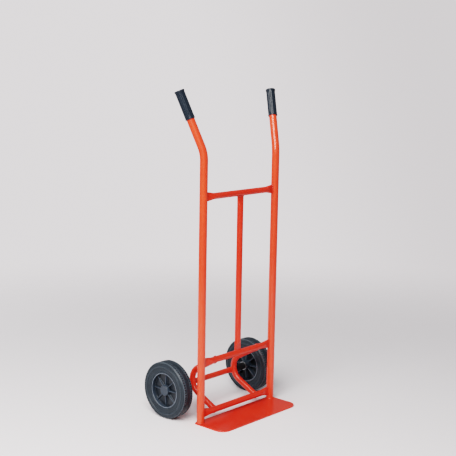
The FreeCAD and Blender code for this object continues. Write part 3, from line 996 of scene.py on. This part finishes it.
def weld_bead(path, facing, closed=True, sections=10):
    """Bead along a path, with ripples along its length.

    The radius swells and sinks with the length run, once each pitch, as a rectified sine.
    The ends of an open bead close to a point."""
    sizes = bpy.context.scene.truck_frame
    following = np.roll(path, -1, axis=0)
    before = np.roll(path, 1, axis=0)
    if not closed:
        following[-1] = path[-1]
        before[0] = path[0]
    tangents = unit(following - before)
    facing = unit(facing - (facing * tangents).sum(axis=1, keepdims=True) * tangents)
    beside = np.cross(tangents, facing)
    steps = np.linalg.norm(np.diff(path, axis=0), axis=1)
    run = np.concatenate([[0.0], np.cumsum(steps)])
    total = run[-1] + (np.linalg.norm(path[0] - path[-1]) if closed else 0)
    ripples = max(1, round(total / sizes.weld_pitch))
    swell = np.abs(np.sin(math.pi * ripples * run / total))
    drift = np.sin(2 * math.pi * 3 * run / total + path[:, 0] * 90) * 0.06
    radius = sizes.weld_radius * (0.84 + 0.18 * swell + drift)
    if not closed:
        radius = radius * np.sqrt(np.clip(np.minimum(run, total - run) / sizes.weld_radius, 0.02, 1))
    ring = circle(full_turn(sections), facing, beside)
    points = path[:, None, :] + radius[:, None, None] * ring
    if closed:
        return ring_shell(points)
    return ended_shell(points, path[0], path[-1])


def even_loop(points, step=0.0006):
    """The closed loop sampled again at even steps along its length.

    A row holds a place and whatever else goes with it. Only the place sets the length."""
    closed = np.vstack([points, points[:1]])
    steps = np.linalg.norm(np.diff(closed[:, :3], axis=0), axis=1)
    run = np.concatenate([[0.0], np.cumsum(steps)])
    samples = np.linspace(0, run[-1], max(24, round(run[-1] / step)), endpoint=False)
    return np.stack([np.interp(samples, run, column) for column in closed.T], axis=-1)


def pressed_joint(half_length, meets_radius, side):
    """Loop where a pressed end meets a round tube, with the way that its bead faces."""
    angle = full_turn(LOOP_POINTS, 0.5)
    thin, wide = pressed_section(np.ones(1), angle)
    reach = np.sqrt(meets_radius ** 2 - thin ** 2)
    loop = np.stack([side * (half_length - reach), thin, wide], axis=-1)
    from_section = np.stack([0 * angle, np.cos(angle), np.sin(angle)], axis=-1)
    from_tube = np.stack([-side * reach, thin, 0 * thin], axis=-1) / meets_radius
    both = even_loop(np.hstack([loop, from_section + from_tube]))
    return both[:, :3], both[:, 3:]


def seat_bead(side, above):
    """Bead in the notch between the axle and the outside of a bracket's bend.

    Seen along X, the bead's centre is a bead's radius from both the axle's circle and the
    bend's outer circle, so it lies where the two widened circles cross."""
    sizes = bpy.context.scene.truck_frame
    start, corner, end = bracket_setout(side)
    into = unit(corner - start)
    away = unit(end - corner)
    turn = math.acos(float(into @ away))
    centre = corner + unit(away - into) * sizes.bracket_bend / math.cos(turn / 2)
    offset = np.linspace(-0.62, 0.62, 21) * TUBE_RADIUS
    bend_reach = sizes.bracket_bend + np.sqrt(TUBE_RADIUS ** 2 - offset ** 2) + sizes.weld_radius
    axle_reach = AXLE_RADIUS + sizes.weld_radius
    between = (AXLE - centre) * [0, 1, 1]
    apart = np.linalg.norm(between)
    along = (apart ** 2 + bend_reach ** 2 - axle_reach ** 2) / (2 * apart)
    beside = np.sqrt(np.maximum(bend_reach ** 2 - along ** 2, 0))
    direction = between / apart
    upward = np.array([0, -direction[2], direction[1]]) * above
    path = centre + along[:, None] * direction + beside[:, None] * upward
    path[:, 0] = side * BRACKET_X + offset
    return weld_bead(path, np.repeat(upward[None], len(path), axis=0), closed=False)


class BuildWelds(bpy.types.Operator):
    """Run a weld bead round every joint of the frame"""
    bl_idname = "truck.welds"
    bl_label = "Weld beads"

    def execute(self, context):
        paint = "Enamel on welds"
        for bar, height in BAR_HEIGHTS.items():
            beads = []
            for side in (-1, 1):
                loop, facing = pressed_joint(RAIL_X, RAIL_RADIUS, side)
                beads.append(weld_bead(loop + [0, 0, height], facing))
            piece(f"{bar}_welds", beads, "frame", paint)
        top, bottom = BAR_HEIGHTS["top_crossbar"], BAR_HEIGHTS["middle_crossbar"]
        beads = []
        for side in (-1, 1):
            loop, facing = pressed_joint((top - bottom) / 2, TUBE_RADIUS, side)
            beads.append(weld_bead(upright(loop) + [0, 0, (top + bottom) / 2], upright(facing)))
        piece("centre_upright_welds", beads, "frame", paint)
        for side, word in SIDES:
            start, corner, end = bracket_setout(side)
            beads = [seat_bead(side, 1), seat_bead(side, -1)]
            for leg_end, bar in ((start, "middle_crossbar"), (end, "lower_crossbar")):
                loop, radial, bar_normal = coped_ring(leg_end, unit(leg_end - corner),
                                                      BAR_HEIGHTS[bar], LOOP_POINTS)
                both = even_loop(np.hstack([loop, radial + bar_normal]))
                beads.append(weld_bead(both[:, :3], both[:, 3:]))
            piece(f"{word}_bracket_welds", beads, "frame", paint)
            radial = circle(full_turn(140), [1.0, 0, 0], [0, 1.0, 0])
            foot = np.array([side * RAIL_X, 0, PLATE_TOP]) + RAIL_RADIUS * radial
            foot_bead = weld_bead(foot, radial + [0, 0, 1.0])
            piece(f"{word}_foot_weld", [foot_bead], "frame", paint)
        return {"FINISHED"}


# ---------------------------------------------------------------- wheels


def wheel_centre(side):
    return np.array([side * WHEEL_X, AXLE[1], AXLE[2]])


def tyre_outline():
    """Half section of the tyre: bead lip, dished side wall with a ridge, shoulder and tread."""
    sizes = bpy.context.scene.truck_wheels
    half, foot, top = TYRE_HALF, sizes.rim_radius, WHEEL_RADIUS
    groove, cut = sizes.groove_x, sizes.groove_width / 2
    floor = top - sizes.groove_depth
    sidewall = [
        (RIM_EDGE, foot, 0.0), (RIM_EDGE + 1.6 * MM, foot + 1.2 * MM, 0.8 * MM),
        (RIM_EDGE + 2.0 * MM, foot + 4.0 * MM, 1.0 * MM), (RIM_EDGE + 1.0 * MM, foot + 6.0 * MM, 1.2 * MM),
        (half - 2.2 * MM, foot + 9.5 * MM, 2.0 * MM), (half - 2.0 * MM, foot + 18.0 * MM, 1.0 * MM),
        (half, foot + 19.8 * MM, 0.9 * MM), (half, foot + 24.0 * MM, 1.0 * MM),
        (half - 1.6 * MM, foot + 26.0 * MM, 1.0 * MM),
        (half - 1.2 * MM, top - 5.0 * MM, 3.0 * MM), (half - 5.2 * MM, top - 1.2 * MM, 0.7 * MM),
        (half - 6.4 * MM, top - 1.6 * MM, 0.5 * MM), (half - 7.2 * MM, top, 0.6 * MM),
    ]
    tread = [
        (groove + cut, top, 0.4 * MM), (groove + 0.8 * cut, floor, 0.3 * MM),
        (groove - 0.8 * cut, floor, 0.3 * MM), (groove - cut, top, 0.4 * MM),
    ]
    one_side = sidewall + tread
    other_side = [(-x, radius, rounding) for x, radius, rounding in reversed(one_side)]
    key = sizes.key_width / 2
    seat = [(-key, foot, 0), (-key, KEY_RADIUS, 0), (key, KEY_RADIUS, 0), (key, foot, 0)]
    return one_side + other_side + seat


class BuildTyres(bpy.types.Operator):
    """Mould the two solid tyres with side wall ridges, tread grooves and notches"""
    bl_idname = "truck.tyres"
    bl_label = "Tyres"

    def execute(self, context):
        sizes = context.scene.truck_wheels
        outline = divided(rounded_outline(tyre_outline(), 3), 4 * MM)
        columns = 6 * sizes.notches
        angle = full_turn(columns)
        across = np.abs(outline[:, 0])
        in_band = (across > sizes.groove_x + 1.5 * MM) & (across < TYRE_HALF - 7.0 * MM)
        on_tread = (outline[:, 1] > WHEEL_RADIUS - 0.1 * MM) & in_band
        notch = (np.arange(columns) % 6 < 2).astype(float)
        radius = outline[:, 1:] - sizes.notch_depth * on_tread[:, None] * notch[None, :]
        for side, word in SIDES:
            points = turned_points(outline[:, :1], radius, angle[None, :], wheel_centre(side), side)
            piece(f"{word}_tyre_rubber", [ring_shell(points)], f"{word}_wheel",
                  "Tyre rubber", [f"{word}_tyre"])
        return {"FINISHED"}


def rib_columns(sizes):
    """Columns over half the space from one rib to the next.

    Gives each column's distance beside the rib, its share of the angle left to the middle
    between ribs, and its fall from the rib's edge or its rise above the web."""
    half = sizes.rib_width / 2
    soft = 0.8 * MM
    foot = sizes.rib_foot
    draft = 0.25 * MM
    top_turn = np.linspace(0, math.pi / 2, 5)
    foot_turn = np.linspace(0, math.pi / 2, 6)
    beside = np.concatenate([[0.0], half - soft + soft * np.sin(top_turn),
                             half + draft + foot * (1 - np.cos(foot_turn))])
    fall = np.concatenate([[0.0], soft * (1 - np.cos(top_turn)), 0 * foot_turn])
    rise = np.concatenate([[0.0], 0 * top_turn, foot * (1 - np.sin(foot_turn))])
    on_edge = np.concatenate([[True], top_turn > -1, foot_turn < -1])
    between = np.array([0.2, 0.45, 0.72, 1.0])
    beside = np.concatenate([beside, np.full(4, beside[-1])])
    fall = np.concatenate([fall, np.zeros(4)])
    rise = np.concatenate([rise, np.zeros(4)])
    on_edge = np.concatenate([on_edge, np.zeros(4, bool)])
    left = np.concatenate([np.zeros(len(beside) - 4), between])
    return beside, left, fall, rise, on_edge


def rim_outline(sizes):
    """Section of the rim round its bore, boss, web, band and tyre seat."""
    inside = sizes.rim_radius - sizes.band
    web, back = sizes.web_face, sizes.web_face - sizes.web
    end = sizes.boss_outer_end
    key = sizes.key_width / 2
    fillet = 2.0 * MM
    soft = 0.9 * MM
    return [
        (end, sizes.race_radius, 0), (end, sizes.boss_radius, soft / 2),
        (web, sizes.boss_radius, soft / 2), (web, CAP_RADIUS + 0.2 * MM, 0),
        (web, CAP_RADIUS + 0.3 * MM, 0), (web, inside, fillet),
        (RIM_EDGE, inside, soft), (RIM_EDGE, sizes.rim_radius, soft),
        (key, sizes.rim_radius, 0), (key, KEY_RADIUS, 0), (-key, KEY_RADIUS, 0),
        (-key, sizes.rim_radius, 0), (-RIM_EDGE, sizes.rim_radius, soft),
        (-RIM_EDGE, inside, soft), (back, inside, fillet), (back, sizes.boss_radius, fillet),
        (BOSS_INNER_END, sizes.boss_radius, soft), (BOSS_INNER_END, sizes.race_radius, soft / 2),
    ]


def rim_shell(side):
    """The whole rim as one surface over its section and the angle about the axle.

    On both faces of the web the surface is the higher of the plain section and the ribs. A
    rib keeps its thickness, so its columns stand at the arc sine of their distance over the
    radius. Its edge falls in a straight line from the hub to the band."""
    sizes = bpy.context.scene.truck_wheels
    outline = divided(rounded_outline(rim_outline(sizes), 5), 3 * MM)
    beside, left, fall, rise, on_edge = rib_columns(sizes)
    x, radius = outline[:, 0], outline[:, 1]
    inside = sizes.rim_radius - sizes.band
    hub = CAP_RADIUS + 0.25 * MM
    reach = np.clip((radius - hub) / (inside - hub), 0, 1)
    edge = RIM_EDGE - sizes.rib_hub_drop - reach * (sizes.rib_band_drop - sizes.rib_hub_drop)
    web, back = sizes.web_face, sizes.web_face - sizes.web
    in_recess = radius < inside + 0.01 * MM
    outer = in_recess & (radius > hub) & (x > web - 0.01 * MM)
    inner = in_recess & (radius > sizes.boss_radius - 0.01 * MM) & (x < back + 0.01 * MM)
    outer_rib = np.where(on_edge[None, :], edge[:, None] - fall[None, :], web + rise[None, :])
    inner_rib = np.where(on_edge[None, :], fall[None, :] - edge[:, None], back - rise[None, :])
    place = np.broadcast_to(x[:, None], outer_rib.shape)
    place = np.where(outer[:, None], np.maximum(place, outer_rib), place)
    place = np.where(inner[:, None], np.minimum(place, inner_rib), place)
    start = np.arcsin(beside[None, :] / radius[:, None])
    turn = start + left[None, :] * (math.pi / sizes.ribs - start)
    place = np.concatenate([place[:, :0:-1], place[:, :-1]], axis=1)
    turn = np.concatenate([-turn[:, :0:-1], turn[:, :-1]], axis=1)
    ribs = full_turn(sizes.ribs) + math.pi / 2
    angle = (ribs[None, :, None] + turn[:, None, :]).reshape(len(x), -1)
    place = np.tile(place, (1, sizes.ribs))
    points = turned_points(place, radius[:, None], angle, wheel_centre(side), side)
    return merge_doubles(ring_shell(points))


class BuildRims(bpy.types.Operator):
    """Mould the two ribbed rims"""
    bl_idname = "truck.rims"
    bl_label = "Rims"

    def execute(self, context):
        for side, word in SIDES:
            piece(f"{word}_rim_moulding", [rim_shell(side)], f"{word}_wheel",
                  "Rim plastic", [f"{word}_rim"])
        return {"FINISHED"}


class BuildHubCaps(bpy.types.Operator):
    """Mould the two hub caps, with a shallow dish and a softened rim"""
    bl_idname = "truck.hub_caps"
    bl_label = "Hub caps"

    def execute(self, context):
        wall = 2.0 * MM
        inside = CAP_FACE - 2.2 * MM
        corners = [
            (CAP_FACE - 0.9 * MM, 0, 0), (CAP_FACE - 0.9 * MM, 0.62 * CAP_RADIUS, 1.0 * MM),
            (CAP_FACE, 0.72 * CAP_RADIUS, 0.8 * MM), (CAP_FACE, CAP_RADIUS, 2.4 * MM),
            (CAP_START, CAP_RADIUS, 0.4 * MM), (CAP_START, CAP_RADIUS - wall, 0.4 * MM),
            (inside, CAP_RADIUS - wall, 0.8 * MM), (inside, 0, 0),
        ]
        outline = rounded_outline(corners, 6)
        for side, word in SIDES:
            shell = turned_shell(outline, wheel_centre(side), 72, side)
            piece(f"{word}_hub_cap_moulding", [shell], f"{word}_wheel",
                  "Rim plastic", [f"{word}_hub_cap"])
        return {"FINISHED"}


def ring_corners(node, bore, soften, side):
    """Corners of a plain ring that fills a node's box, with softened edges."""
    low, high = box(node)
    ends = sorted(side * value for value in (low[0], high[0]))
    outside = half_size(node)[2]
    return [(ends[0], bore, soften / 2), (ends[0], outside, soften),
            (ends[1], outside, soften), (ends[1], bore, soften / 2)]


class BuildAxleFittings(bpy.types.Operator):
    """Make the spacers, washers and push-on retainers"""
    bl_idname = "truck.axle_fittings"
    bl_label = "Spacers, washers and retainers"

    def execute(self, context):
        bore = AXLE_RADIUS + 0.2 * MM
        centre = AXLE * [0, 1, 1]
        for side, word in SIDES:
            plain = (("spacer", "spacer", "Spacer plastic", 0.5 * MM),
                     ("inner_washer", "zinc_steel", "Zinc plate", 0.3 * MM),
                     ("outer_washer", "zinc_steel", "Zinc plate", 0.3 * MM))
            for name, slot, finish, soften in plain:
                corners = ring_corners(f"{word}_{name}", bore, soften, side)
                shell = turned_shell(rounded_outline(corners, 3), centre, 64, side)
                piece(f"{word}_{name}_ring", [shell], "frame", finish,
                      [f"{word}_{name}"])
            low, high = box(f"{word}_retainer")
            start, end = sorted(side * value for value in (low[0], high[0]))
            outside = half_size(f"{word}_retainer")[2]
            dish = 1.2 * MM
            corners = [(start, AXLE_RADIUS + dish, 0.3 * MM), (start, outside, 0.3 * MM),
                       (end - dish, outside, 0.3 * MM), (end, AXLE_RADIUS + dish, 0.3 * MM),
                       (end, AXLE_RADIUS, 0.2 * MM), (start + dish, AXLE_RADIUS, 0.2 * MM)]
            shell = turned_shell(rounded_outline(corners, 3), centre, 64, side)
            piece(f"{word}_retainer_ring", [shell], "frame",
                  "Zinc plate", [f"{word}_retainer"])
        return {"FINISHED"}


class FinishBearings(bpy.types.Operator):
    """Give the bearing cages and rollers inside the hubs their finishes"""
    bl_idname = "truck.bearings"
    bl_label = "Bearing finishes"

    def execute(self, context):
        for _, word in SIDES:
            for node, finish in (("bearing_cage", "Nylon"), ("rollers", "Bearing steel")):
                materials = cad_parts[f"{word}_{node}"].data.materials
                materials.clear()
                materials.append(bpy.data.materials[finish])
        return {"FINISHED"}


# ---------------------------------------------------------------- grips


class BuildGrips(bpy.types.Operator):
    """Mould the two fluted grips over the ends of the rails"""
    bl_idname = "truck.grips"
    bl_label = "Grips"

    def execute(self, context):
        sizes = context.scene.truck_grips
        body = RAIL_RADIUS + sizes.wall
        far = -sizes.grip_length
        collar_end = far + sizes.collar_length
        corners = [
            (0, 0, 0), (0, sizes.flange_radius, 1.2 * MM),
            (-sizes.flange_length, sizes.flange_radius, 1.0 * MM),
            (-sizes.flange_length - 1.4 * MM, body, 1.2 * MM),
            (collar_end + 0.8 * MM, body, 0.8 * MM), (collar_end, sizes.collar_radius, 0.5 * MM),
            (far, sizes.collar_radius, 0.9 * MM), (far, RAIL_RADIUS - 0.2 * MM, 0.3 * MM),
            (-2 * sizes.wall, RAIL_RADIUS - 0.2 * MM, 0), (-2 * sizes.wall, 0, 0),
        ]
        outline = rounded_outline(corners, 5)
        outline = np.vstack([divided(outline[:-1], 4 * MM, closed=False), outline[-1:]])
        columns = 12 * sizes.flutes
        angle = full_turn(columns)
        rings = outline[1:-1]
        start, end = collar_end + 4 * MM, -sizes.flange_length - 5 * MM
        fade = np.clip(np.minimum(rings[:, 0] - start, end - rings[:, 0]) / (3 * MM), 0, 1)
        fade = fade * (rings[:, 1] > RAIL_RADIUS + 0.5 * sizes.wall)
        flute = (0.5 - 0.5 * np.cos(sizes.flutes * angle)) ** 3
        radius = rings[:, 1:] - sizes.flute_depth * fade[:, None] * flute[None, :]
        for side, word in SIDES:
            along = handle_direction(side)
            across = unit(np.cross([0, 0, 1.0], along))
            spread = circle(angle, across, np.cross(along, across))
            tip = handle_end(side)
            points = tip + rings[:, :1, None] * along + radius[:, :, None] * spread
            shell = ended_shell(points, tip + outline[0, 0] * along, tip + outline[-1, 0] * along)
            piece(f"{word}_grip_sleeve", [shell], "frame", "Grip vinyl",
                  [f"{word}_grip"])
        return {"FINISHED"}


# ---------------------------------------------------------------- stage

FLOOR_REACH = 3.2
FADE_START, FADE_END = 0.9, 3.0
LIGHTS_AIM = (0, 0.05, 0.5)
LENS_SHIFT = (-0.0008, -0.0014)


def floor_material(settings):
    """Pale paper that fades out far from the object, so that no edge shows."""
    made, tree, shader = new_material("Floor paper", Roughness=0.9)
    shader.inputs["Base Color"].default_value = (*settings.floor, 1)
    shader.inputs["Specular IOR Level"].default_value = 0.2
    place = add(tree, "ShaderNodeTexCoord").outputs["Object"]
    away = add(tree, "ShaderNodeVectorMath", links=[(0, place)], operation="LENGTH").outputs["Value"]
    tree.links.new(ramp(tree, away, FADE_START, FADE_END, 1.0, 0.0), shader.inputs["Alpha"])
    return made


def studio_world(settings):
    """World that the camera sees as a pale backdrop, darker to its right, and that lights
    the object more dimly."""
    made = bpy.data.worlds.new("Studio")
    made.use_nodes = True
    tree = made.node_tree
    lit = tree.nodes["Background"]
    lit.inputs["Color"].default_value = (*settings.surround, 1)
    heading = settings.heading
    rightward = (math.cos(heading), -math.sin(heading), 0.35)
    way = add(tree, "ShaderNodeTexCoord").outputs["Generated"]
    across = add(tree, "ShaderNodeVectorMath", [(1, rightward)], [(0, way)],
                 operation="DOT_PRODUCT").outputs["Value"]
    # Painted shade: the backdrop's strength falls from 1.0 to 0.78 towards the camera's right.
    seen = add(tree, "ShaderNodeBackground", [("Color", (*settings.backdrop, 1))],
               [("Strength", ramp(tree, across, -0.06, 0.20, 1.0, 0.78))])
    ray = add(tree, "ShaderNodeLightPath").outputs["Is Camera Ray"]
    both = add(tree, "ShaderNodeMixShader", links=[("Fac", ray)])
    tree.links.new(lit.outputs[0], both.inputs[1])
    tree.links.new(seen.outputs[0], both.inputs[2])
    tree.links.new(both.outputs[0], tree.nodes["World Output"].inputs["Surface"])
    return made


def area_light(name, place, size, power, tint):
    """Soft rectangular light that looks at the middle of the object."""
    data = bpy.data.lights.new(name, "AREA")
    data.shape = "RECTANGLE"
    data.size, data.size_y = size
    data.energy = power
    data.color = tint
    lamp = bpy.data.objects.new(name, data)
    lamp.location = place
    lamp.rotation_euler = (Vector(LIGHTS_AIM) - Vector(place)).to_track_quat("-Z", "Y").to_euler()
    lamp.visible_camera = False
    bpy.context.scene.collection.objects.link(lamp)


def place_camera(settings):
    """Camera whose axes follow from its heading, pitch and roll."""
    sin, cos = math.sin, math.cos
    heading, pitch, roll = settings.heading, settings.pitch, settings.roll
    forward = Vector((sin(heading) * cos(pitch), cos(heading) * cos(pitch), -sin(pitch)))
    level = Vector((cos(heading), -sin(heading), 0))
    upward = level.cross(forward)
    right = cos(roll) * level + sin(roll) * upward
    top = cos(roll) * upward - sin(roll) * level
    data = bpy.data.cameras.new("Camera")
    data.sensor_width = 36
    data.lens = settings.lens
    data.shift_x, data.shift_y = LENS_SHIFT
    data.clip_start = 0.05
    data.clip_end = 100
    camera = bpy.data.objects.new("Camera", data)
    turn = Matrix((right, top, -forward)).transposed()
    camera.matrix_world = Matrix.Translation(Vector(settings.camera_place)) @ turn.to_4x4()
    bpy.context.scene.collection.objects.link(camera)
    bpy.context.scene.camera = camera


class BuildStage(bpy.types.Operator):
    """Lay the floor, light it softly and place the camera"""
    bl_idname = "truck.stage"
    bl_label = "Stage"

    def execute(self, context):
        settings = context.scene.truck_stage
        reach = FLOOR_REACH
        mesh = bpy.data.meshes.new("floor")
        mesh.from_pydata([(-reach, -reach, 0), (reach, -reach, 0), (reach, reach, 0),
                          (-reach, reach, 0)], [], [(0, 1, 2, 3)])
        mesh.materials.append(floor_material(settings))
        floor = bpy.data.objects.new("floor", mesh)
        context.scene.collection.objects.link(floor)
        context.scene.world = studio_world(settings)
        context.scene.view_settings.view_transform = "Filmic"
        context.scene.view_settings.look = "High Contrast"
        area_light("Key light", (-2.3, -0.9, 2.5), (2.4, 2.4), settings.key, (1, 0.99, 0.97))
        area_light("Back light", (-0.6, 3.2, 2.4), (2.4, 1.6), settings.back, (0.97, 0.98, 1))
        area_light("Spark light", (-2.0, -2.1, 2.2), (0.3, 0.3), settings.spark, (1, 1, 1))
        place_camera(settings)
        return {"FINISHED"}


# ---------------------------------------------------------------- add-on

OPERATORS = (BuildFinishes, BuildRails, BuildCrossTubes, BuildBrackets, BuildToePlate, BuildAxle,
             BuildWelds, BuildTyres, BuildRims, BuildHubCaps, BuildAxleFittings, FinishBearings,
             BuildGrips, BuildStage)
GROUPS = (("truck_frame", FrameSizes), ("truck_wheels", WheelSizes), ("truck_grips", GripSizes),
          ("truck_finishes", Finishes), ("truck_stage", StageSettings))


class TruckPanel(bpy.types.Panel):
    """Lists the pieces, their sizes and their colours"""
    bl_idname = "VIEW3D_PT_hand_truck"
    bl_label = "Hand Truck"
    bl_space_type = "VIEW_3D"
    bl_region_type = "UI"
    bl_category = "Hand Truck"

    def draw(self, context):
        for operator in OPERATORS:
            self.layout.operator(operator.bl_idname)
        for name, group in GROUPS:
            column = self.layout.column(heading=group.__doc__)
            for entry in group.__annotations__:
                column.prop(getattr(context.scene, name), entry)


def register():
    for name, group in GROUPS:
        bpy.utils.register_class(group)
        setattr(bpy.types.Scene, name, bpy.props.PointerProperty(type=group))
    for operator in OPERATORS:
        bpy.utils.register_class(operator)
    bpy.utils.register_class(TruckPanel)


def unregister():
    bpy.utils.unregister_class(TruckPanel)
    for operator in reversed(OPERATORS):
        bpy.utils.unregister_class(operator)
    for name, group in reversed(GROUPS):
        delattr(bpy.types.Scene, name)
        bpy.utils.unregister_class(group)


def main():
    register()
    for operator in OPERATORS:
        getattr(bpy.ops.truck, operator.bl_idname.split(".")[1])()


if __name__ == "__main__":
    main()
